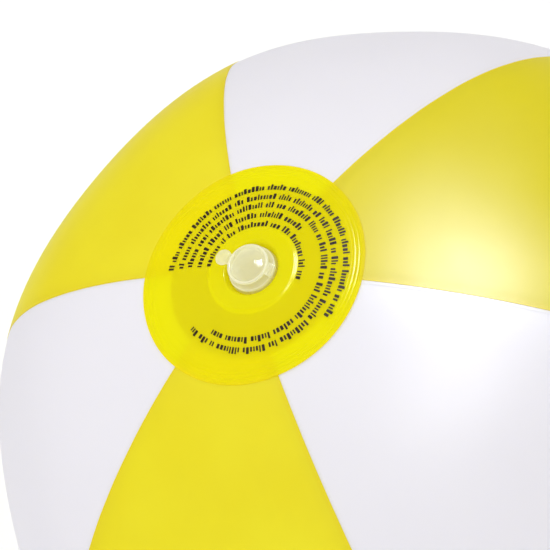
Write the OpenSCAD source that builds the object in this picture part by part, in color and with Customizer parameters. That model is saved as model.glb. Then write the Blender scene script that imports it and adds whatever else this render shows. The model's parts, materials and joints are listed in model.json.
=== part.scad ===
// Inflatable beach ball: six welded film panels, two pole discs and an oral
// inflation valve. The origin is the centre of the ball and +Z runs along the
// pole axis, out through the valve. The valve is shown pushed in and plugged.

/* [Ball] */
// Radius of the inflated ball at its equator
ball_r = 130; // [120:1:160]
// Radius of the arc that rounds the ball's side
side_r = 112; // [108:1:114]
// Radius of the sphere that each pole's crown lies on
crown_r = 148; // [144:1:156]
// Thickness of the film
film = 0.2; // [0.15:0.05:0.3]
// Width of a lap weld between two panels at the equator
lap_w = 4; // [2:0.5:6]
// Turn of the first panel's middle from +X
panel_turn = 10; // [0:1:60]

/* [Pole discs] */
// Radius of a pole disc
disc_r = 33; // [31:0.5:38]
// Radius of the opening that the panels' tips leave under a pole disc
tip_r = 25; // [22:0.5:30]
// Radius of the patch that the ball's weight presses flat
rest_r = 12; // [8:0.5:14]

/* [Valve] */
// Radius of the hole in the valve's pole disc
disc_hole_r = 8; // [7.8:0.1:8.5]
// Outer radius of the valve's welding flange
flange_r = 13.2; // [12:0.1:16]
// Thickness of the welding flange
flange_t = 0.7; // [0.5:0.1:1]
// Thickness of the skirt that lets the stem sink into the ball
skirt_t = 0.6; // [0.4:0.1:0.7]
// Radius of the air bore
bore_r = 3; // [2.8:0.05:3.1]
// Outer radius of the stem's tube
stem_r = 5.2; // [5:0.1:5.4]
// Length of the stem, from its lip to its inner end
stem_l = 12; // [11:0.5:14]
// Radius of the lip at the mouth of the stem
lip_r = 6.7; // [6.6:0.1:7]
// Thickness of the lip
lip_t = 1.2; // [1:0.1:1.5]

/* [Cap] */
// Radius of the cap's plate
cap_r = 5.9; // [5.7:0.1:6]
// Thickness of the cap's plate
cap_t = 1.15; // [1:0.05:1.3]
// Distance from the lip to the underside of the plate
cap_gap = 1.7; // [1.7:0.1:2]
// Radius of the knob on the pull tab
tab_r = 2; // [1.6:0.1:2.4]
// Width of the strap that holds the cap
strap_w = 3.6; // [3:0.1:4]

/* [Hidden] */
$fn = 96;

panel_angle = 60;
lap_angle = lap_w / ball_r * 180 / PI;

// The side outline is one arc round the side, tangent to a crown arc at each
// pole. The side arc's centre is off the axis, and the crown arc's is on it.
side_c = ball_r - side_r;
crown_c = sqrt(pow(crown_r - side_r, 2) - side_c * side_c);
join_angle = asin(side_c / (crown_r - side_r));
tip_angle = asin(tip_r / crown_r);
edge_steps = 24;

crown_z = crown_r - crown_c;
rest_z = sqrt(pow(crown_r + film, 2) - rest_r * rest_r) - crown_c;

// The lip stands just proud of the disc round it
lip_z = crown_z + 0.25;
foot_z = lip_z - stem_l;
foot_h = 1.2;
skirt_foot_z = foot_z + foot_h;
skirt_gap = 0.1;
mouth_r = 3.95;
mouth_depth = 3.3;

// The plug tapers so that it can swing out of the mouth about the strap
plug_top_r = 3.8;
plug_tip_r = 2.75;
plug_lift = 0.3;
plug_depth = 3.1;
neck_r = 4.6;
plate_z = lip_z + cap_gap;

hinge_y = -6.4;
hinge_z = lip_z + 1.3;
barrel_r = 0.35;
strap_t = 0.5;
strap_edge_y = -6.2;

tab_y = 8.2;
tab_neck_w = 2.4;
tab_t = 0.9;

flap_r = 3.6;
flap_t = 0.4;
flap_gap = 0.1;
flap_z = foot_z - flap_gap - flap_t;
flap_hinge_y = -4.3;
flap_lug_y = -5.1;

YELLOW = [0.93, 0.88, 0.16, 0.75];
WHITE = [0.95, 0.95, 0.96];
CLEAR = [0.9, 0.92, 0.85, 0.6];

// The point of the side outline where its normal is at this angle from the
// pole axis, moved in by inset
function edge_point(angle, inset) =
  angle < join_angle
  ? [(crown_r - inset) * sin(angle), (crown_r - inset) * cos(angle) - crown_c]
  : [side_c + (side_r - inset) * sin(angle), (side_r - inset) * cos(angle)];

// The upper half of a panel's edge, from its tip to the equator
function upper_edge(inset) =
  [for (i = [0:edge_steps])
    edge_point(tip_angle + (90 - tip_angle) * i / edge_steps, inset)];

// A panel's edge from tip to tip
function whole_edge(inset) =
  let (top = upper_edge(inset))
  concat(top, [for (i = [edge_steps - 1:-1:0]) [top[i][0], -top[i][1]]]);

function backwards(list) = [for (i = [len(list) - 1:-1:0]) list[i]];

// One panel, as film at the given depth, centred on its own meridian
module panel(number, depth) {
  middle = panel_turn + panel_angle * number;
  sweep = panel_angle + lap_angle;
  rotate([0, 0, middle - sweep / 2])
    rotate_extrude(angle = sweep)
      polygon(concat(whole_edge(depth), backwards(whole_edge(depth + film))));
}

// White panels lie a film's depth lower, under the yellow panels' lap welds
module white_panel(number) {
  color(WHITE) panel(number, film);
}

module yellow_panel(number) {
  color(YELLOW) panel(number, 0);
}

// A crowned ring of sheet, from radius r_in to r_out, between two insets
module crown_ring(r_in, r_out, inset_top, inset_low) {
  rotate_extrude()
    intersection() {
      difference() {
        translate([0, -crown_c]) circle(r = crown_r - inset_top, $fn = 720);
        translate([0, -crown_c]) circle(r = crown_r - inset_low, $fn = 720);
      }
      translate([r_in, 0]) square([r_out - r_in, crown_r]);
    }
}

module valve_disc() {
  color(YELLOW) crown_ring(disc_hole_r, disc_r, -film, 0);
}

// The base disc is the same crown turned over, flattened where it rests
module base_disc() {
  color(YELLOW) {
    mirror([0, 0, 1])
      difference() {
        crown_ring(0, disc_r, -film, 0);
        translate([0, 0, rest_z - 5]) cylinder(r = rest_r, h = 10);
      }
    translate([0, 0, -rest_z]) cylinder(r = rest_r, h = film);
  }
}

// The flange is welded to the underside of the valve's disc
module valve_flange() {
  color(CLEAR) crown_ring(disc_hole_r, flange_r, 0, flange_t);
}

// The skirt hangs from the flange and carries the stem's foot
module valve_skirt() {
  top_r = disc_hole_r + skirt_t;
  top_z = sqrt(pow(crown_r - flange_t, 2) - top_r * top_r) - crown_c;
  wall_z = top_z - 3;
  inner_r = stem_r + skirt_gap;
  color(CLEAR)
    rotate_extrude()
      polygon([
        [disc_hole_r, top_z],
        [disc_hole_r, wall_z],
        [inner_r + skirt_t, skirt_foot_z + skirt_t],
        [inner_r, skirt_foot_z + skirt_t],
        [inner_r, skirt_foot_z],
        [inner_r + skirt_t, skirt_foot_z],
        [top_r, wall_z],
        [top_r, top_z]
      ]);
}

// The air way is a straight bore with a tapered mouth for the plug
module air_way() {
  translate([0, 0, foot_z - 1])
    cylinder(r = bore_r, h = stem_l + 2);
  translate([0, 0, lip_z - mouth_depth])
    cylinder(r1 = bore_r, r2 = mouth_r, h = mouth_depth);
  translate([0, 0, lip_z])
    cylinder(r = mouth_r, h = 1);
}

// A round plate with a rounded edge
module round_plate(r, t, edge) {
  rotate_extrude() {
    square([r - edge, t]);
    translate([0, edge]) square([r, t - 2 * edge]);
    translate([r - edge, edge]) circle(r = edge, $fn = 32);
    translate([r - edge, t - edge]) circle(r = edge, $fn = 32);
  }
}

module valve_stem() {
  color(CLEAR) {
    difference() {
      union() {
        translate([0, 0, lip_z - lip_t]) round_plate(lip_r, lip_t, 0.4);
        translate([0, 0, foot_z]) cylinder(r = stem_r, h = stem_l - lip_t / 2);
      }
      air_way();
    }
    // The lug that the check flap hangs from
    translate([-1.2, flap_lug_y, flap_z])
      cube([2.4, 0.4, foot_z - flap_z + 0.5]);
  }
}

// The strap's root stands on the lip and ends in the line it bends about
module valve_strap() {
  color(CLEAR) {
    translate([-strap_w / 2, hinge_y - strap_t / 2, lip_z])
      cube([strap_w, strap_t, hinge_z - lip_z]);
    translate([-strap_w / 2, hinge_y, hinge_z])
      rotate([0, 90, 0]) cylinder(r = barrel_r, h = strap_w, $fn = 32);
  }
}

// A round plate with a plug below it, a pull tab and the strap's far end
module valve_cap() {
  color(CLEAR) {
    translate([0, 0, plate_z]) round_plate(cap_r, cap_t, 0.4);
    translate([0, 0, lip_z + plug_lift])
      cylinder(r = neck_r, h = cap_gap - plug_lift + 0.1);
    translate([0, 0, lip_z - plug_depth])
      cylinder(r1 = plug_tip_r, r2 = plug_top_r, h = plug_depth + plug_lift);
    translate([-tab_neck_w / 2, cap_r - 1, plate_z + 0.15])
      cube([tab_neck_w, tab_y - cap_r + 1, tab_t]);
    translate([0, tab_y, plate_z + 0.15]) cylinder(r = tab_r, h = tab_t);
    translate([-strap_w / 2, strap_edge_y, plate_z + 0.15])
      cube([strap_w, 1.4, cap_t - 0.3]);
  }
}

// A thin disc that closes the inner end of the bore
module check_flap() {
  color(CLEAR)
    translate([0, 0, flap_z]) {
      cylinder(r = flap_r, h = flap_t);
      translate([-1.2, flap_hinge_y - 0.2, 0]) cube([2.4, 2, flap_t]);
    }
}

white_panel(0);  // white_panel_1
yellow_panel(1);  // yellow_panel_1
white_panel(2);  // white_panel_2
yellow_panel(3);  // yellow_panel_2
white_panel(4);  // white_panel_3
yellow_panel(5);  // yellow_panel_3
valve_disc();
base_disc();
valve_flange();
valve_skirt();
valve_stem();
valve_strap();
valve_cap();
check_flap();
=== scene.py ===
import json
import math

import bpy
import numpy as np
from mathutils import Matrix, Vector


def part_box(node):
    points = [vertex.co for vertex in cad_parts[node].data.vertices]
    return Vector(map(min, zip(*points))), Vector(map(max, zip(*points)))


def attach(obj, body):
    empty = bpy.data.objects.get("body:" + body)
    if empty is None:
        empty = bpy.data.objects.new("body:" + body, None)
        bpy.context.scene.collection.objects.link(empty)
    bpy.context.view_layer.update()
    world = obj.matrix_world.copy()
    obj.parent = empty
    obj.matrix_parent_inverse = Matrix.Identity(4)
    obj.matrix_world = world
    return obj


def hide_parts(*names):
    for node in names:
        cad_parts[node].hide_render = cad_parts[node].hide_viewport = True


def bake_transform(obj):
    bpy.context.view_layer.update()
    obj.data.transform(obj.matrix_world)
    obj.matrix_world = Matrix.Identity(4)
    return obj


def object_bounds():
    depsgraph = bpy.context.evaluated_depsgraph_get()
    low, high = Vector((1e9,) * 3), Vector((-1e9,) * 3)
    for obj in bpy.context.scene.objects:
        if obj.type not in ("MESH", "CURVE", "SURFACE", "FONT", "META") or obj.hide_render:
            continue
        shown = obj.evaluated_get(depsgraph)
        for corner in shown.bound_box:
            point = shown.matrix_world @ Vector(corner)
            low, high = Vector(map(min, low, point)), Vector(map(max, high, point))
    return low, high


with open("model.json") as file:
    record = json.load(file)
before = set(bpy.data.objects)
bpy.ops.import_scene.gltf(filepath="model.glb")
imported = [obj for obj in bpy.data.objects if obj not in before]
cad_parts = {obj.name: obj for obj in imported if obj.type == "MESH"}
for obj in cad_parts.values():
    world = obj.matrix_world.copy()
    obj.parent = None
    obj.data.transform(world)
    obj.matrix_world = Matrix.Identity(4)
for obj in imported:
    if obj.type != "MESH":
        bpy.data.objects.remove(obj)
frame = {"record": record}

# An inflated beach ball: six welded film panels, a film disc over each pole and
# a push-in inflation valve. Everything is in metres, in the frame of the CAD
# model: the origin is the ball's centre and +Z runs out through the valve.

MM = 0.001
CAD_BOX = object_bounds()
# A turned outline that closes on the axis starts this far off it
AXIS_R = 0.02 * MM

# ---------------------------------------------------------------- sizes

# From the CAD model's nodes
BALL_R = max(abs(v) for corner in CAD_BOX for v in corner)
REST_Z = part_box("base_disc")[0].z
DISC_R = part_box("valve_disc")[1].x
FLANGE_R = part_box("valve_flange")[1].x
SKIRT_LOW, SKIRT_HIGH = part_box("valve_skirt")
STEM_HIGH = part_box("valve_stem")[1]
STRAP_LOW, STRAP_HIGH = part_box("valve_strap")
CAP_LOW, CAP_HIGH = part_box("valve_cap")
FLAP_LOW, FLAP_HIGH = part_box("check_flap")
PANEL_TIP_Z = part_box("yellow_panel_1")[1].z
PORT = next(m for m in frame["record"]["mounts"] if m["name"] == "inflation_port")

# The side outline, as on the CAD model: an arc round the side, tangent to the
# crown's arc at each pole
SIDE_R = 112 * MM
CROWN_R = 148 * MM
SIDE_C = BALL_R - SIDE_R
CROWN_C = math.sqrt((CROWN_R - SIDE_R) ** 2 - SIDE_C**2)
JOIN = math.asin(SIDE_C / (CROWN_R - SIDE_R))
CROWN_Z = CROWN_R - CROWN_C
TIP = math.acos((PANEL_TIP_Z + CROWN_C) / CROWN_R)

# The film and how it is welded
FILM = 0.18 * MM
GAP = 0.02 * MM
LAYER = FILM + GAP
LAP = 3.0 * MM
PANELS = 6
PANEL_TURN = math.radians(10)
FIRST_SEAM = PANEL_TURN + math.pi / PANELS
# How far the seams stand proud of the plain outline, and the panels' middles
# lie inside it, on the blown-up ball
LOBE = 1.75 * MM
# The photo's welds aren't quite even: how far round each seam stands off its
# place, in degrees, and how far beside the upper pole it would pass, in mm. The
# first row is rounded from a fit to the photo's seams, with the camera below
SEAM_DRIFT = [-3.4, 0.8, -0.9, -1.2, 0.5, 0.5]
SEAM_LEAN = [0.0, 1.3, -1.4, -2.7, -1.3, -0.9]
# The valve's disc: its rim's radius, and its centre beside the valve
RIM_R = DISC_R - 0.3 * MM
RIM_CENTRE = (0.3 * MM, 1.9 * MM)

# The valve's moulding, with the sizes that the CAD model has, and the disc's
# film over it: a shoulder over the flange's edge, a roll into the hole and a
# collar that ends just outside the lip
HOLE_R = 8 * MM
FLANGE_T = 0.7 * MM
BORE_R = PORT["dims"]["r_mm"] * MM
LIP_Z = STEM_HIGH.z
LIP_R = STEM_HIGH.x
LIP_T = 1.2 * MM
SHOULDER_R = FLANGE_R - 0.6 * MM
SHOULDER_W = 1.3 * MM
STEP_H = 0.46 * MM
ROLL_R = HOLE_R + 0.3 * MM
COLLAR_R = LIP_R + 0.25 * MM
STEM_R = 5.2 * MM
STEM_L = 12 * MM
FOOT_Z = LIP_Z - STEM_L
MOUTH_R = 3.95 * MM
MOUTH_DEPTH = 3.3 * MM
CAP_R = CAP_HIGH.x
CAP_T = 1.15 * MM
PLATE_Z = CAP_HIGH.z - CAP_T
# The check flap's web and the lug on the stem that it hangs from
WEB_X = (-1.2 * MM, 1.2 * MM)
WEB_Y = (-4.5 * MM, -2.5 * MM)
LUG_Y = (-5.1 * MM, -4.7 * MM)


# ------------------------------------------------------------ mesh tools


def new_object(name, points, faces, smooth=True):
    mesh = bpy.data.meshes.new(name)
    mesh.from_pydata([tuple(p) for p in points], [], [tuple(f) for f in faces])
    mesh.update()
    for polygon in mesh.polygons:
        polygon.use_smooth = smooth
    obj = bpy.data.objects.new(name, mesh)
    bpy.context.scene.collection.objects.link(obj)
    return obj


def sharpen(obj, degrees=40):
    """Keeps edges sharper than this angle crisp on a smoothly shaded piece."""
    obj.data.set_sharp_from_angle(angle=math.radians(degrees))


def grid_faces(rows, columns, closed=False, start=0, flip=False):
    """Quads of a grid of points. closed joins the last column to the first."""
    faces = []
    for i in range(rows - 1):
        for j in range(columns if closed else columns - 1):
            k = (j + 1) % columns
            a, b = start + i * columns + j, start + i * columns + k
            c, d = start + (i + 1) * columns + k, start + (i + 1) * columns + j
            faces.append((a, b, c, d) if flip else (a, d, c, b))
    return faces


def rim_faces(top, low):
    """Quads between two loops of point numbers."""
    return [
        (top[i], top[(i + 1) % len(top)], low[(i + 1) % len(top)], low[i])
        for i in range(len(top))
    ]


def closed_shell(name, outer, inner):
    """A thin closed shell from two grids of points of the same size."""
    rows, columns = outer.shape[:2]
    count = rows * columns
    faces = grid_faces(rows, columns)
    faces += grid_faces(rows, columns, start=count, flip=True)
    loop = list(range(columns))
    loop += [i * columns + columns - 1 for i in range(1, rows)]
    loop += [(rows - 1) * columns + j for j in range(columns - 2, -1, -1)]
    loop += [i * columns for i in range(rows - 2, 0, -1)]
    faces += rim_faces(loop, [k + count for k in loop])
    points = np.concatenate([outer.reshape(-1, 3), inner.reshape(-1, 3)])
    obj = new_object(name, points, faces)
    sharpen(obj, 50)
    return obj


def ring_shell(name, outer, inner):
    """A thin closed shell from two grids whose columns run all the way round."""
    rows, columns = outer.shape[:2]
    count = rows * columns
    faces = grid_faces(rows, columns, closed=True)
    faces += grid_faces(rows, columns, closed=True, start=count, flip=True)
    last = [(rows - 1) * columns + j for j in range(columns)]
    faces += rim_faces([k + count for k in last], last)
    first = list(range(columns))
    faces += rim_faces(first, [k + count for k in first])
    points = np.concatenate([outer.reshape(-1, 3), inner.reshape(-1, 3)])
    obj = new_object(name, points, faces)
    sharpen(obj, 50)
    return obj


def lathe(name, profile, steps=128):
    """A solid of revolution about Z from a closed profile of (radius, height)."""
    turn = np.linspace(0, 2 * math.pi, steps, endpoint=False)
    profile = np.array(profile)
    ring = np.stack([np.cos(turn), np.sin(turn)], -1)
    xy = profile[:, None, :1] * ring[None]
    z = np.broadcast_to(profile[:, 1:, None], xy.shape[:2] + (1,))
    points = np.concatenate([xy, z], -1)
    rows = len(profile)
    faces = grid_faces(rows, steps, closed=True, flip=True)
    seam = grid_faces(2, steps, closed=True, flip=True)
    faces += [
        tuple(k + (rows - 1) * steps if k < steps else k - steps for k in f)
        for f in seam
    ]
    obj = new_object(name, points.reshape(-1, 3), faces)
    sharpen(obj, 40)
    return obj


def rounded(points, radius, steps=5):
    """A closed outline with its corners rounded as far as its sides allow.

    The radius is one for all corners, or a list with one for each.
    """
    out = []
    count = len(points)
    for i in range(count):
        p = Vector(points[i])
        back, ahead = Vector(points[i - 1]) - p, Vector(points[(i + 1) % count]) - p
        r = radius[i] if isinstance(radius, (list, tuple)) else radius
        cut = min(r, 0.45 * back.length, 0.45 * ahead.length)
        a, b = p + back.normalized() * cut, p + ahead.normalized() * cut
        for k in range(steps + 1):
            t = k / steps
            q = a * (1 - t) ** 2 + p * 2 * t * (1 - t) + b * t**2
            out.append((q[0], q[1]))
    return out


def block(name, x_ends, y_ends, z_ends):
    """A plain block between two places along each axis."""
    points = [(x, y, z) for z in z_ends for y in y_ends for x in x_ends]
    faces = [(0, 2, 3, 1), (4, 5, 7, 6), (0, 1, 5, 4), (1, 3, 7, 5), (3, 2, 6, 7), (2, 0, 4, 6)]
    obj = new_object(name, points, faces, smooth=False)
    store(obj, "pale", [0] * len(points))
    return obj


def joined(name, objects):
    """Several objects' meshes as one object."""
    points, faces, pale = [], [], []
    for obj in objects:
        base = len(points)
        points += [v.co[:] for v in obj.data.vertices]
        faces += [tuple(k + base for k in p.vertices) for p in obj.data.polygons]
        pale += [item.value for item in obj.data.attributes["pale"].data]
        bpy.data.objects.remove(obj)
    one = new_object(name, points, faces)
    store(one, "pale", pale)
    sharpen(one, 40)
    return one


# ------------------------------------------------------------- the skin


def outline(angle):
    """Radius and height of the side outline, where its normal is this far from +Z."""
    upper = np.minimum(angle, math.pi - angle)
    crown = upper < JOIN
    radius = np.where(crown, CROWN_R * np.sin(upper), SIDE_C + SIDE_R * np.sin(upper))
    height = np.where(crown, CROWN_R * np.cos(upper) - CROWN_C, SIDE_R * np.cos(upper))
    return radius, np.where(angle > math.pi / 2, -height, height)


def arc_length(angle):
    """Distance along the outline from the top pole, for angles down to the bottom one."""
    upper = np.minimum(angle, math.pi - angle)
    length = CROWN_R * np.minimum(upper, JOIN) + SIDE_R * np.maximum(upper - JOIN, 0)
    whole = 2 * (CROWN_R * JOIN + SIDE_R * (math.pi / 2 - JOIN))
    return np.where(angle > math.pi / 2, whole - length, length)


def seam_angle(seam, angle):
    """Where a seam runs round the ball, at this normal angle."""
    even = FIRST_SEAM + seam * 2 * math.pi / PANELS
    drift = math.radians(SEAM_DRIFT[seam % PANELS])
    lean = SEAM_LEAN[seam % PANELS] * MM * np.clip(np.cos(angle), 0, 1)
    return even + drift + np.arctan2(lean, np.maximum(outline(angle)[0], 5 * MM))


def across(turn, angle):
    """Which panel a point is on, and its share of the way across it."""
    where = np.zeros_like(turn)
    for seam in range(-2, PANELS + 2):
        left, right = seam_angle(seam, angle), seam_angle(seam + 1, angle)
        inside = (turn >= left) & (turn < right)
        where = np.where(inside, seam + (turn - left) / (right - left), where)
    return where


def pucker(seam, along, away):
    """The small waves that a weld draws in the film beside it."""
    phase = 1.7 * seam
    wave = np.sin(along / (2.3 * MM) + phase) + 0.7 * np.sin(along / (1.4 * MM) + 2 * phase)
    wave += 0.8 * np.sin(along / (4.1 * MM) - phase)
    return 0.018 * MM * wave * np.exp(-away / (6 * MM))


def relief(turn, angle):
    """How far the skin stands off the plain outline: lobes, long waves and puckers."""
    where = across(turn, angle)
    share = where - np.floor(where)
    low = np.sin(angle) ** 2
    lobe = LOBE * low * np.cos(2 * math.pi * share)
    radius = outline(angle)[0]
    along = arc_length(angle)
    width = radius * 2 * math.pi / PANELS
    seam = np.floor(where)
    waves = pucker(seam % PANELS, along, share * width)
    waves += pucker((seam + 1) % PANELS, along, (1 - share) * width)
    fade = np.clip((radius - 20 * MM) / (25 * MM), 0, 1)
    slow = np.sin(3 * turn + along / (19 * MM)) * np.sin(along / (27 * MM) + 2 * turn)
    return lobe + fade * waves + 0.10 * MM * low * slow


def skin(turn, angle, depth):
    """A point of the blown-up skin, this far under its outer face."""
    radius, height = outline(angle)
    out = relief(turn, angle) - depth
    reach = radius + out * np.sin(angle)
    return np.stack(
        [reach * np.cos(turn), reach * np.sin(turn), height + out * np.cos(angle)], -1
    )


def store(obj, name, values):
    """Keeps a number for each point of a mesh, for its material to read."""
    layer = obj.data.attributes.new(name, "FLOAT", "POINT")
    layer.data.foreach_set("value", np.asarray(values, np.float32).ravel())


# One panel's colour is darkened a little: painted shade for the lesser light that comes through
# its film from inside the ball
PAINTED_SHADE_PANELS = {"yellow_panel_3_film": 0.7}

# Distances in from a panel's edge, close together over the weld
EDGE_STEPS = np.array([0, 0.25, 0.5, 0.8, 1.1, 1.4, 1.7, 2.0, 2.4, 3.0, 4.0]) * MM
MIDDLE_STEPS = 14
ROWS = 150


def panel_rows():
    """Normal angles from tip to tip, a little closer together near the tips."""
    t = np.linspace(0, 1, ROWS)
    t = t - 0.035 * np.sin(2 * math.pi * t)
    return TIP + t * (math.pi - 2 * TIP)


def weld_step(away, on_top):
    """The pressed band of a lap weld: a shallow flat with a fine bead beside it."""
    flat = -0.02 * MM / (1 + np.exp((away - 2.0 * MM) / (0.3 * MM)))
    bead = 0.07 * MM * np.exp(-(((away - 0.75 * MM) / (0.25 * MM)) ** 2))
    return flat if on_top else bead


def film_panel(name, seam, top_layer):
    """One panel between two seams. A lower-layer panel runs on under its neighbours' edges."""
    angles = panel_rows()
    depth = 0.0 if top_layer else LAYER
    steps = EDGE_STEPS if top_layer else np.concatenate([EDGE_STEPS - LAP, EDGE_STEPS + GAP])
    steps = np.unique(np.round(steps, 7))
    radius = outline(angles)[0]
    left, right = seam_angle(seam, angles), seam_angle(seam + 1, angles)
    half = radius * (right - left) / 2
    last = steps[-1]
    middle = np.linspace(0, 1, MIDDLE_STEPS + 1)[1:]
    away = np.concatenate(
        [
            np.broadcast_to(steps, (ROWS, len(steps))),
            last + (half[:, None] - last) * middle[None],
        ],
        1,
    )
    first = left[:, None] + away / radius[:, None]
    second = right[:, None] - away[:, -2::-1] / radius[:, None]
    turn = np.concatenate([first, second], 1)
    away = np.concatenate([away, away[:, -2::-1]], 1)
    angle = np.broadcast_to(angles[:, None], turn.shape)
    step = weld_step(np.abs(away), top_layer)
    step = np.where(away < 0, 0, step)
    outer = skin(turn, angle, depth - step)
    inner = skin(turn, angle, depth + FILM - step)
    obj = closed_shell(name, outer, inner)
    weld = np.exp(-np.maximum(away, 0) / (0.9 * MM))
    store(obj, "weld", np.concatenate([weld, weld]))
    # Painted shade: how far this panel's colour is darkened
    store(obj, "deep", np.full(2 * away.size, PAINTED_SHADE_PANELS.get(name, 0.0)))
    return obj


# ----------------------------------------------------------- pole discs


# Grooves of the disc's weld: how far in from the rim each one runs, its depth
# and its half width, in mm
WELD_GROOVES = [(1.5, 0.09, 0.24), (2.6, 0.10, 0.26), (3.6, 0.06, 0.24), (5.4, 0.03, 0.3)]


def weld_rings(inward, turn):
    """The disc's weld: fine grooves that press deeper on some sides than on others."""
    depth = np.zeros_like(inward)
    for number, (place, deep, wide) in enumerate(WELD_GROOVES):
        uneven = 0.7 + 0.3 * np.sin(2 * turn + 1.9 * number) * np.sin(5 * turn - number)
        depth += deep * MM * uneven * np.exp(-(((inward / MM - place) / wide) ** 2))
    return -depth


def flange_bump(radius):
    """The disc's film drawn over the flange: a shoulder at its edge and a roll at the hole."""
    share = np.clip((SHOULDER_R + SHOULDER_W / 2 - radius) / SHOULDER_W, 0, 1)
    shoulder = share - np.sin(2 * math.pi * share) / (4 * math.pi)
    roll = np.maximum(ROLL_R - radius, 0) / MM
    return STEP_H * shoulder - 1.1 * MM * roll**2


def disc_height(x, y, depth):
    """The skin's height at a place near a pole, this far under the panels' outer face."""
    radius = np.hypot(x, y)
    angle = np.arcsin(np.clip(radius / CROWN_R, 0, 1))
    turn = np.arctan2(y, x) % (2 * math.pi)
    out = relief(turn, angle) - depth
    return (CROWN_R + out) * np.cos(angle) - CROWN_C


def disc_grid(inner_r, rim_r, centre, columns=240):
    """Places over a disc, from its hole or middle to its rim, which has its own centre."""
    fine = np.arange(0, 6.0, 0.12) * MM
    broad = np.linspace(6.1 * MM, rim_r - inner_r, 90)
    inward = np.concatenate([fine, broad])[::-1]
    turn = np.linspace(0, 2 * math.pi, columns, endpoint=False)
    share = np.clip((rim_r - inward - FLANGE_R) / (rim_r - FLANGE_R), 0, 1)
    radius = rim_r - inward
    x = radius[:, None] * np.cos(turn)[None] + centre[0] * share[:, None]
    y = radius[:, None] * np.sin(turn)[None] + centre[1] * share[:, None]
    return x, y, np.broadcast_to(inward[:, None], x.shape)


def valve_disc_piece():
    x, y, inward = disc_grid(COLLAR_R, RIM_R, RIM_CENTRE)
    bump = flange_bump(np.hypot(x, y)) + weld_rings(inward, np.arctan2(y, x))
    outer = disc_height(x, y, -LAYER) + bump
    inner = disc_height(x, y, -LAYER + FILM) + bump
    obj = ring_shell(
        "valve_disc_film", np.stack([x, y, outer], -1), np.stack([x, y, inner], -1)
    )
    store_disc(obj, x, y, inward)
    return obj


def base_disc_piece():
    x, y, inward = disc_grid(0.05 * MM, DISC_R, (0, 0))
    bump = weld_rings(inward, np.arctan2(y, x))
    outer = np.minimum(disc_height(x, y, -LAYER) + bump, -REST_Z)
    inner = np.minimum(disc_height(x, y, -LAYER + FILM) + bump, -REST_Z - FILM)
    obj = ring_shell(
        "base_disc_film", np.stack([x, -y, -outer], -1), np.stack([x, -y, -inner], -1)
    )
    store_disc(obj, x, y, inward)
    return obj


def store_disc(obj, x, y, inward):
    """How much of the film is weld: all of it at the disc's rim."""
    weld = np.exp(-np.maximum(inward, 0) / (0.5 * MM))
    store(obj, "weld", np.concatenate([weld, weld]))


# ---------------------------------------------------------------- print

# Rows of the print round the valve: the radius of its foot, where it starts
# and where it ends, in degrees, running clockwise seen from above
PRINT_ROWS = [
    (13.0, 97, -88),
    (16.0, 98, -33),
    (19.1, 98, -197),
    (21.9, 99, -211),
    (25.0, 100, -108),
]
PRINT_CENTRE = (-0.2 * MM, -0.35 * MM)
INK_T = 0.03 * MM


def print_block(radius, turn, width, height):
    """One small block of print, laid on the disc's film."""
    corner = min(width, height) * 0.22
    outline_2d = rounded(
        [
            (-width / 2, 0),
            (width / 2, 0),
            (width / 2, height),
            (-width / 2, height),
        ],
        corner,
        2,
    )
    points = []
    for rise in (INK_T, -0.05 * MM):
        for u, v in outline_2d:
            r = radius + v
            a = turn + u / (radius + height / 2)
            x, y = r * math.cos(a) + PRINT_CENTRE[0], r * math.sin(a) + PRINT_CENTRE[1]
            bump = float(flange_bump(math.hypot(x, y)))
            z = float(disc_height(np.array([x]), np.array([y]), -LAYER)[0])
            points.append((x, y, z + bump + rise))
    return points


def print_piece(random):
    """Plain blocks in groups of two to nine, in place of any wording."""
    points, faces = [], []
    for foot, start, end in PRINT_ROWS:
        radius = foot * MM
        turn = math.radians(start)
        stop = math.radians(end)
        while turn > stop:
            for _ in range(random.integers(2, 10)):
                width = random.choice([0.4, 0.55, 0.8]) * MM
                height = random.choice([1.3, 1.3, 1.8]) * MM
                turn -= width / 2 / radius
                base = len(points)
                ring = print_block(radius, turn, width, height)
                points += ring
                n = len(ring) // 2
                faces.append([base + k for k in range(n - 1, -1, -1)])
                faces.append([base + n + k for k in range(n)])
                top, low = range(base, base + n), range(base + n, base + 2 * n)
                faces += rim_faces(list(low), list(top))
                turn -= (width / 2 + 0.34 * MM) / radius
                if turn < stop:
                    break
            turn -= 0.75 * MM / radius
    return new_object("disc_print", points, faces, smooth=False)


# ---------------------------------------------------------------- valve


def crown_at(radius):
    """The height of the plain crown at this radius."""
    return math.sqrt(CROWN_R**2 - radius**2) - CROWN_C


def flange_piece():
    """The welding ring under the disc, with a raised bead near its edge."""
    top, low = [], []
    for r in np.linspace(HOLE_R, FLANGE_R, 28):
        z = crown_at(r)
        bump = float(flange_bump(r))
        edge = 0.25 * MM * max(0.0, (r - FLANGE_R + 0.3 * MM) / (0.3 * MM)) ** 2
        top.append((r, z + bump * 0.96 - 0.03 * MM - edge))
        low.append((r, z - FLANGE_T))
    ring = lathe("valve_flange_ring", top[::-1] + low)
    store_pale(ring, SHOULDER_R, 0.5 * MM, 0)
    return ring


def skirt_piece():
    """The soft sleeve from the flange to the stem's foot, in its shape at rest; the real one
    folds as the stem slides.
    """
    top_r, top_z = SKIRT_HIGH.x, SKIRT_HIGH.z
    low_z = SKIRT_LOW.z
    wall = 0.55 * MM
    low_r = STEM_R + 0.1 * MM + wall
    outer, inner = [], []
    for share in np.linspace(0, 1, 33):
        bow = 0.35 * MM * math.sin(2 * math.pi * share)
        r = top_r + (low_r - top_r) * share**1.6 + bow
        z = top_z + (low_z - top_z) * share
        outer.append((r, z))
        inner.append((r - wall, z))
    return lathe("valve_skirt_sleeve", inner + outer[::-1])


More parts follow.
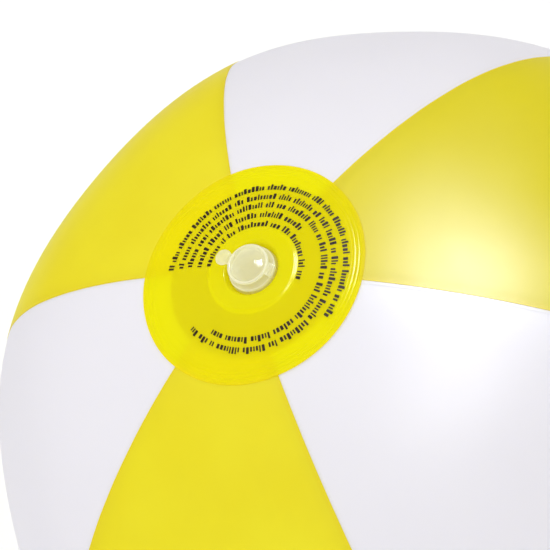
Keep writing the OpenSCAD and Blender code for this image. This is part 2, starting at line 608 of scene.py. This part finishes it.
def stem_piece():
    """The tube that is blown into, with its lip, its tapered mouth and its foot."""
    profile = rounded(
        [
            (BORE_R, FOOT_Z),
            (STEM_R, FOOT_Z),
            (STEM_R, LIP_Z - LIP_T),
            (LIP_R, LIP_Z - LIP_T),
            (LIP_R, LIP_Z),
            (MOUTH_R, LIP_Z),
            (BORE_R, LIP_Z - MOUTH_DEPTH),
        ],
        [0.15 * MM, 0.4 * MM, 0.5 * MM, 0.45 * MM, 0.5 * MM, 0.25 * MM, 0.3 * MM],
    )
    tube = lathe("stem_tube", profile)
    store_pale(tube, LIP_R - 0.25 * MM, 0.25 * MM, LIP_Z - LIP_T)
    # The lug that the check flap hangs from
    lug = block("stem_lug", WEB_X, LUG_Y, (FLAP_LOW.z, FOOT_Z + 0.5 * MM))
    return joined("valve_stem_tube", [tube, lug])


def cap_piece():
    """The cap's plate with its beaded rim, its dish and the cone in its middle, and its plug."""
    plug_top, plug_tip, neck_r = 3.8 * MM, 2.75 * MM, 4.6 * MM
    top = CAP_HIGH.z
    dish = top - 0.5 * MM
    boss = dish + 0.95 * MM
    outline_2d = [
        (AXIS_R, CAP_LOW.z),
        (plug_tip, CAP_LOW.z),
        (plug_top, LIP_Z + 0.25 * MM),
        (neck_r, LIP_Z + 0.3 * MM),
        (neck_r, PLATE_Z),
        (CAP_R, PLATE_Z),
        (CAP_R, top),
        (CAP_R - 0.8 * MM, top),
        (CAP_R - 1.0 * MM, dish),
        (4.3 * MM, dish),
        (2.0 * MM, boss),
        (AXIS_R, boss),
    ]
    corners = [0, 0.4, 0.2, 0.3, 0.5, 0.5, 0.45, 0.4, 0.3, 0.2, 0.25, 0]
    plate = lathe("valve_cap_plate", rounded(outline_2d, [c * MM for c in corners], 6))
    store_pale(plate, CAP_R - 0.4 * MM, 0.25 * MM, PLATE_Z)
    return plate


def tab_half_width(y, tab_y, tab_r):
    """Half the pull tab's width at a distance from the cap's middle: a knob on a flared neck."""
    knob = math.sqrt(max(tab_r**2 - (y - tab_y) ** 2, 0))
    neck = 1.35 * MM + 1.2 * MM * math.exp(-((y - CAP_R + 1.2 * MM) / (0.9 * MM)))
    return max(knob, neck) if y < tab_y else max(knob, 0.02 * MM)


def pull_tab_piece():
    """The pull tab: a neck with a fold line across it, and a soft round knob."""
    tab_y, tab_r = 8.1 * MM, 2.3 * MM
    start, end = CAP_R - 1.2 * MM, tab_y + tab_r
    mid = PLATE_Z + 0.55 * MM
    lean = math.radians(-4)
    top, low = [], []
    for share in np.linspace(0, 1, 52):
        y = start + (end - start) * (1 - (1 - share) ** 1.6)
        half = tab_half_width(y, tab_y, tab_r)
        fold = -0.34 * MM * math.exp(-(((y - CAP_R - 0.35 * MM) / (0.2 * MM)) ** 2))
        knob = 0.3 * MM * math.exp(-(((y - tab_y) / (1.3 * MM)) ** 2))
        tip = math.sqrt(max(0.0, min(1.0, (end - y) / (0.6 * MM))))
        for side, rows in ((1, top), (-1, low)):
            row = []
            for s in np.linspace(-1, 1, 25):
                edge = math.sqrt(max(1 - abs(s) ** 3.5, 0.0))
                rise = (0.42 * MM + knob) * edge * tip + fold
                if side < 0:
                    rise = -0.4 * MM * edge * tip
                x = s * half
                row.append((
                    x * math.cos(lean) - y * math.sin(lean),
                    x * math.sin(lean) + y * math.cos(lean),
                    mid + rise,
                ))
            rows.append(row)
    tab = closed_shell("valve_pull_tab", np.array(top), np.array(low))
    sides = np.abs(np.linspace(-1, 1, 25))
    store(tab, "pale", np.tile(np.exp((sides - 1) / 0.12), 2 * len(top)))
    return tab


def strap_piece():
    """The short ribbed strap between the lip and the cap, curled over at rest."""
    width = STRAP_HIGH.x - STRAP_LOW.x
    start = Vector((0, -LIP_R + 0.6 * MM, LIP_Z - 0.25 * MM))
    out = Vector((0, -LIP_R - 0.85 * MM, (LIP_Z + PLATE_Z) / 2 + 0.35 * MM))
    end = Vector((0, -CAP_R + 0.7 * MM, PLATE_Z + 0.62 * MM))
    lead = [
        start,
        Vector((0, -LIP_R - 0.3 * MM, LIP_Z + 0.05 * MM)),
        out,
        Vector((0, -CAP_R - 0.65 * MM, PLATE_Z + 0.7 * MM)),
        end,
    ]
    steps = 48
    line = []
    for k in range(steps + 1):
        t = k / steps
        # A Bezier curve of the fourth degree through the five leading points
        weights = [math.comb(4, i) * t**i * (1 - t) ** (4 - i) for i in range(5)]
        line.append(sum((lead[i] * weights[i] for i in range(5)), Vector()))
    side = np.linspace(-1, 1, 13)
    outer, inner = [], []
    for k, p in enumerate(line):
        ahead = line[min(k + 1, steps)] - line[max(k - 1, 0)]
        normal = Vector((0, -ahead.z, ahead.y)).normalized() * -1
        rib = 0.09 * MM * math.cos(2 * math.pi * k / 6)
        top, low = [], []
        for s in side:
            edge = 1 - 0.5 * abs(s) ** 6
            x = s * width / 2
            top.append(Vector((x, p.y, p.z)) - normal * (0.3 * MM + rib) * edge)
            low.append(Vector((x, p.y, p.z)) + normal * 0.22 * MM * edge)
        outer.append([tuple(v) for v in top])
        inner.append([tuple(v) for v in low])
    return closed_shell("valve_hinge_strap", np.array(outer), np.array(inner))


def flap_piece():
    """The thin flap that shuts the bore's inner end, with the web that it bends at."""
    low, top = FLAP_LOW.z, FLAP_HIGH.z
    corners = [(AXIS_R, low), (FLAP_HIGH.x, low), (FLAP_HIGH.x, top), (AXIS_R, top)]
    disc = lathe("flap_disc", rounded(corners, 0.12 * MM, 3), 64)
    store(disc, "pale", [0] * len(disc.data.vertices))
    web = block("flap_web", WEB_X, WEB_Y, (low + 0.03 * MM, top - 0.03 * MM))
    return joined("valve_check_flap", [disc, web])


# ------------------------------------------------------------ materials


def node_tree(name):
    """A new material and its empty tree of nodes."""
    material = bpy.data.materials.new(name)
    material.use_nodes = True
    tree = material.node_tree
    tree.nodes.clear()
    return material, tree


def noise(tree, scale, detail=3.0, roughness=0.5):
    """Noise over the object's own space, in features of about 1/scale metres."""
    place = tree.nodes.new("ShaderNodeTexCoord")
    node = tree.nodes.new("ShaderNodeTexNoise")
    node.inputs["Scale"].default_value = scale
    node.inputs["Detail"].default_value = detail
    node.inputs["Roughness"].default_value = roughness
    tree.links.new(place.outputs["Object"], node.inputs["Vector"])
    return node.outputs["Fac"]


def remap(tree, value, low, high, start=0.3, stop=0.7):
    """A value that runs from low to high while the given one runs from start to stop."""
    node = tree.nodes.new("ShaderNodeMapRange")
    node.inputs["From Min"].default_value = start
    node.inputs["From Max"].default_value = stop
    node.inputs["To Min"].default_value = low
    node.inputs["To Max"].default_value = high
    tree.links.new(value, node.inputs["Value"])
    return node.outputs["Result"]


def mix_colours(tree, factor, first, second):
    """A mix of two colours, each one given as numbers or as another node's output."""
    node = tree.nodes.new("ShaderNodeMix")
    node.data_type = "RGBA"
    tree.links.new(factor, node.inputs[0])
    for socket, value in ((node.inputs[6], first), (node.inputs[7], second)):
        if isinstance(value, bpy.types.NodeSocket):
            tree.links.new(value, socket)
        else:
            socket.default_value = (*value, 1)
    return node.outputs[2]


def attribute(tree, name):
    node = tree.nodes.new("ShaderNodeAttribute")
    node.attribute_name = name
    return node.outputs["Fac"]


def bump(tree, height, strength, distance):
    node = tree.nodes.new("ShaderNodeBump")
    node.inputs["Strength"].default_value = strength
    node.inputs["Distance"].default_value = distance
    tree.links.new(height, node.inputs["Height"])
    return node.outputs["Normal"]


def store_pale(obj, middle, width, above):
    """Marks a turned piece's rim, at this radius, where its thickness looks paler."""
    values = []
    for vertex in obj.data.vertices:
        radius = math.hypot(vertex.co.x, vertex.co.y)
        near = math.exp(-(((radius - middle) / width) ** 2))
        values.append(near if vertex.co.z > above else 0)
    store(obj, "pale", values)


def film_material(name, light, dark, weld, glow, tint, glow_share, clear_share, rough):
    """Soft PVC film, cloudy between two colours and with its own colour along a weld.

    glow is the colour of the light scattered through it, and tint the colour of
    what is seen straight through it.
    """
    material, tree = node_tree(name)
    cloud = remap(tree, noise(tree, 22, 4), 0, 1)
    colour = mix_colours(tree, cloud, dark, light)
    # Painted shade: panels with a deep value are darkened towards a deeper yellow
    colour = mix_colours(tree, attribute(tree, "deep"), colour, tuple(0.88 * c for c in dark))
    seam = attribute(tree, "weld")
    colour = mix_colours(tree, seam, colour, weld)
    body = tree.nodes.new("ShaderNodeBsdfPrincipled")
    tree.links.new(colour, body.inputs["Base Color"])
    tree.links.new(remap(tree, noise(tree, 60, 2), *rough), body.inputs["Roughness"])
    body.inputs["IOR"].default_value = 1.53
    grain = bump(tree, noise(tree, 1400, 2), 0.06, 0.0002)
    tree.links.new(grain, body.inputs["Normal"])
    through = tree.nodes.new("ShaderNodeBsdfTranslucent")
    glow_colour = mix_colours(tree, seam, glow, weld)
    tree.links.new(glow_colour, through.inputs["Color"])
    lit = tree.nodes.new("ShaderNodeMixShader")
    lit.inputs[0].default_value = glow_share
    tree.links.new(body.outputs[0], lit.inputs[1])
    tree.links.new(through.outputs[0], lit.inputs[2])
    clear = tree.nodes.new("ShaderNodeBsdfTransparent")
    clear.inputs["Color"].default_value = (*tint, 1)
    surface = tree.nodes.new("ShaderNodeMixShader")
    share = remap(tree, seam, clear_share, clear_share * 0.4, 0, 1)
    tree.links.new(share, surface.inputs[0])
    tree.links.new(lit.outputs[0], surface.inputs[1])
    tree.links.new(clear.outputs[0], surface.inputs[2])
    out = tree.nodes.new("ShaderNodeOutputMaterial")
    tree.links.new(surface.outputs[0], out.inputs["Surface"])
    return material


def clear_material(name, milk, rim, tint, clear_share, rough):
    """Clear soft PVC moulding with some milk in it, and more of it where a rim is thick."""
    material, tree = node_tree(name)
    cloud = remap(tree, noise(tree, 420, 4), 0, 1)
    edge = attribute(tree, "pale")
    colour = mix_colours(tree, cloud, milk, tuple(0.96 * c for c in milk))
    colour = mix_colours(tree, edge, colour, rim)
    grain = bump(tree, noise(tree, 380, 1), 0.5, 0.0006)
    body = tree.nodes.new("ShaderNodeBsdfPrincipled")
    tree.links.new(colour, body.inputs["Base Color"])
    tree.links.new(remap(tree, noise(tree, 900, 3), *rough), body.inputs["Roughness"])
    body.inputs["Coat Weight"].default_value = 1.0
    body.inputs["Coat Roughness"].default_value = 0.06
    tree.links.new(grain, body.inputs["Normal"])
    through = tree.nodes.new("ShaderNodeBsdfTranslucent")
    tree.links.new(colour, through.inputs["Color"])
    lit = tree.nodes.new("ShaderNodeMixShader")
    lit.inputs[0].default_value = 0.35
    tree.links.new(body.outputs[0], lit.inputs[1])
    tree.links.new(through.outputs[0], lit.inputs[2])
    clear = tree.nodes.new("ShaderNodeBsdfTransparent")
    clear.inputs["Color"].default_value = (*tint, 1)
    surface = tree.nodes.new("ShaderNodeMixShader")
    tree.links.new(remap(tree, edge, clear_share, clear_share * 0.45, 0, 1), surface.inputs[0])
    tree.links.new(lit.outputs[0], surface.inputs[1])
    tree.links.new(clear.outputs[0], surface.inputs[2])
    out = tree.nodes.new("ShaderNodeOutputMaterial")
    tree.links.new(surface.outputs[0], out.inputs["Surface"])
    return material


def ink_material():
    """Dark brown ink, nearly black and slightly cloudy."""
    material, tree = node_tree("brown_ink")
    cloud = remap(tree, noise(tree, 700, 3), 0, 1)
    colour = mix_colours(tree, cloud, (0.022, 0.010, 0.003), (0.045, 0.022, 0.006))
    body = tree.nodes.new("ShaderNodeBsdfPrincipled")
    tree.links.new(colour, body.inputs["Base Color"])
    body.inputs["Specular IOR Level"].default_value = 0.25
    tree.links.new(remap(tree, cloud, 0.35, 0.5, 0, 1), body.inputs["Roughness"])
    out = tree.nodes.new("ShaderNodeOutputMaterial")
    tree.links.new(body.outputs[0], out.inputs["Surface"])
    return material


def floor_material():
    """The plain pale floor."""
    material, tree = node_tree("pale_floor")
    cloud = remap(tree, noise(tree, 3, 2), 0, 1)
    colour = mix_colours(tree, cloud, (0.93, 0.93, 0.93), (0.95, 0.95, 0.95))
    body = tree.nodes.new("ShaderNodeBsdfPrincipled")
    tree.links.new(colour, body.inputs["Base Color"])
    body.inputs["Roughness"].default_value = 0.9
    body.inputs["Specular IOR Level"].default_value = 0.1
    out = tree.nodes.new("ShaderNodeOutputMaterial")
    tree.links.new(body.outputs[0], out.inputs["Surface"])
    return material


YELLOW_FILM = film_material(
    "yellow_film",
    light=(0.97, 0.92, 0.012),
    dark=(0.92, 0.83, 0.002),
    weld=(0.92, 0.80, 0.003),
    glow=(1.0, 0.94, 0.008),
    tint=(1.0, 0.95, 0.03),
    glow_share=0.3,
    clear_share=0.15,
    rough=(0.35, 0.39),
)
YELLOW_DISC = film_material(
    "yellow_disc",
    light=(1.0, 0.97, 0.006),
    dark=(0.99, 0.94, 0.005),
    weld=(0.95, 0.84, 0.004),
    glow=(1.0, 0.96, 0.008),
    tint=(1.0, 0.99, 0.04),
    glow_share=0.3,
    clear_share=0.62,
    rough=(0.15, 0.21),
)
WHITE_FILM = film_material(
    "white_film",
    light=(0.92, 0.912, 0.975),
    dark=(0.905, 0.897, 0.96),
    weld=(0.89, 0.885, 0.93),
    glow=(0.95, 0.945, 1.0),
    tint=(1.0, 1.0, 1.0),
    glow_share=0.25,
    clear_share=0.0,
    rough=(0.35, 0.39),
)
CLEAR_PVC = clear_material(
    "clear_valve",
    milk=(1.0, 0.99, 0.82),
    rim=(1.0, 0.99, 0.86),
    tint=(1.0, 1.0, 0.94),
    clear_share=0.53,
    rough=(0.07, 0.12),
)
INK = ink_material()


def finish_piece(obj, material, nodes):
    obj.data.materials.clear()
    obj.data.materials.append(material)
    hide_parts(*nodes)
    return obj


# -------------------------------------------------------------- building


def build_panels():
    """White and yellow panels by turns. Seam -1 starts the first white panel."""
    for number in range(PANELS):
        white = number % 2 == 0
        colour = "white" if white else "yellow"
        index = number // 2 + 1
        piece = film_panel(f"{colour}_panel_{index}_film", number - 1, not white)
        material = WHITE_FILM if white else YELLOW_FILM
        finish_piece(piece, material, [f"{colour}_panel_{index}"])
        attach(piece, "envelope")


def build_discs():
    for piece, node in ((valve_disc_piece(), "valve_disc"), (base_disc_piece(), "base_disc")):
        finish_piece(piece, YELLOW_DISC, [node])
        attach(piece, "envelope")
    marks = print_piece(np.random.default_rng(5))
    marks.data.materials.append(INK)
    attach(marks, "envelope")


def build_valve():
    flange = finish_piece(flange_piece(), CLEAR_PVC, ["valve_flange"])
    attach(flange, "envelope")
    skirt = finish_piece(skirt_piece(), CLEAR_PVC, ["valve_skirt"])
    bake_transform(skirt)
    stem = finish_piece(stem_piece(), CLEAR_PVC, ["valve_stem"])
    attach(stem, "stem")
    cap = joined("valve_cap_moulding", [cap_piece(), pull_tab_piece()])
    finish_piece(cap, CLEAR_PVC, ["valve_cap"])
    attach(cap, "cap")
    strap = finish_piece(strap_piece(), CLEAR_PVC, ["valve_strap"])
    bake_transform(strap)
    flap = finish_piece(flap_piece(), CLEAR_PVC, ["check_flap"])
    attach(flap, "flap")


# -------------------------------------------------------- camera and light

# Where the camera stands, seen from the ball's centre, the point beside the
# valve that it looks at, and how far it is turned about its own axis, rounded
# from a fit to the photo's outline, seams and disc
CAMERA_DISTANCE = 0.520
CAMERA_ELEVATION = math.radians(62.07)
CAMERA_AZIMUTH = math.radians(-119.78)
CAMERA_AIM = Vector((-0.43, -7.45, 116.8)) * MM
CAMERA_ROLL = math.radians(42.4)
CAMERA_LENS = 103.1


def toward(azimuth, elevation):
    """The direction at this azimuth from +X and elevation from the floor, in radians."""
    flat = math.cos(elevation)
    return Vector((flat * math.cos(azimuth), flat * math.sin(azimuth), math.sin(elevation)))


def facing(origin, target, roll=0.0):
    """A placement at origin whose -Z axis looks at the target, turned about that axis."""
    look = (target - origin).to_track_quat("-Z", "Y").to_matrix().to_4x4()
    return Matrix.Translation(origin) @ look @ Matrix.Rotation(roll, 4, "Z")


def build_camera():
    data = bpy.data.cameras.new("camera")
    data.lens = CAMERA_LENS
    data.sensor_width = 36
    data.clip_start = 0.01
    camera = bpy.data.objects.new("camera", data)
    origin = toward(CAMERA_AZIMUTH, CAMERA_ELEVATION) * CAMERA_DISTANCE
    camera.matrix_world = facing(origin, CAMERA_AIM, -CAMERA_ROLL)
    bpy.context.scene.collection.objects.link(camera)
    bpy.context.scene.camera = camera


def soft_box(name, azimuth, elevation, distance, radius, power, colour=(1, 1, 1)):
    data = bpy.data.lights.new(name, "AREA")
    data.shape = "DISK"
    data.size = 2 * radius
    data.energy = power
    data.color = colour
    light = bpy.data.objects.new(name, data)
    top = Vector((0, 0, CROWN_Z))
    origin = top + toward(math.radians(azimuth), math.radians(elevation)) * distance
    light.matrix_world = facing(origin, top)
    bpy.context.scene.collection.objects.link(light)
    return light


def build_light():
    world = bpy.data.worlds.new("studio")
    bpy.context.scene.world = world
    world.use_nodes = True
    tree = world.node_tree
    sky = tree.nodes["Background"]
    sky.inputs["Color"].default_value = (1.0, 1.0, 1.0, 1)
    sky.inputs["Strength"].default_value = 1.03
    # What the gloss reflects: a dim studio, with the pale floor far below
    walls = tree.nodes.new("ShaderNodeBackground")
    walls.inputs["Color"].default_value = (0.95, 0.97, 1.0, 1)
    place = tree.nodes.new("ShaderNodeTexCoord")
    height = tree.nodes.new("ShaderNodeSeparateXYZ")
    tree.links.new(place.outputs["Generated"], height.inputs[0])
    strength = remap(tree, height.outputs["Z"], 1.0, 0.12, -0.65, -0.25)
    tree.links.new(strength, walls.inputs["Strength"])
    ray = tree.nodes.new("ShaderNodeLightPath")
    mirrored = tree.nodes.new("ShaderNodeMath")
    mirrored.operation = "SUBTRACT"
    mirrored.use_clamp = True
    tree.links.new(ray.outputs["Is Glossy Ray"], mirrored.inputs[0])
    tree.links.new(ray.outputs["Is Transmission Ray"], mirrored.inputs[1])
    choice = tree.nodes.new("ShaderNodeMixShader")
    tree.links.new(mirrored.outputs[0], choice.inputs[0])
    tree.links.new(sky.outputs[0], choice.inputs[1])
    tree.links.new(walls.outputs[0], choice.inputs[2])
    tree.links.new(choice.outputs[0], tree.nodes["World Output"].inputs["Surface"])
    # The round soft box whose reflection lies on the ball's near side
    shine = soft_box("shine_box", -28, 52.5, 1.2, 0.3, 34, (0.84, 0.9, 1.0))
    shine.visible_diffuse = False
    # A weaker one beside it, that picks out the valve's edges
    edge = soft_box("edge_box", -84, 62, 1.2, 0.13, 4.5)
    edge.visible_diffuse = False
    fill = soft_box("fill_box", 75, 55, 1.6, 0.5, 3.6)
    fill.visible_glossy = False


def build_floor():
    half = 3.0
    corners = [(x * half, y * half, REST_Z) for x, y in ((-1, -1), (1, -1), (1, 1), (-1, 1))]
    floor = new_object("floor", corners, [(0, 1, 2, 3)], smooth=False)
    floor.data.materials.append(floor_material())
    floor.visible_glossy = False


def set_colour_view():
    """Plain colours, with no film-like curve over them."""
    scene = bpy.context.scene
    scene.view_settings.view_transform = "Standard"
    scene.cycles.max_bounces = 24
    scene.cycles.diffuse_bounces = 12
    scene.cycles.transmission_bounces = 16
    scene.cycles.transparent_max_bounces = 32


build_camera()
build_light()
build_floor()
build_panels()
build_discs()
build_valve()
set_colour_view()
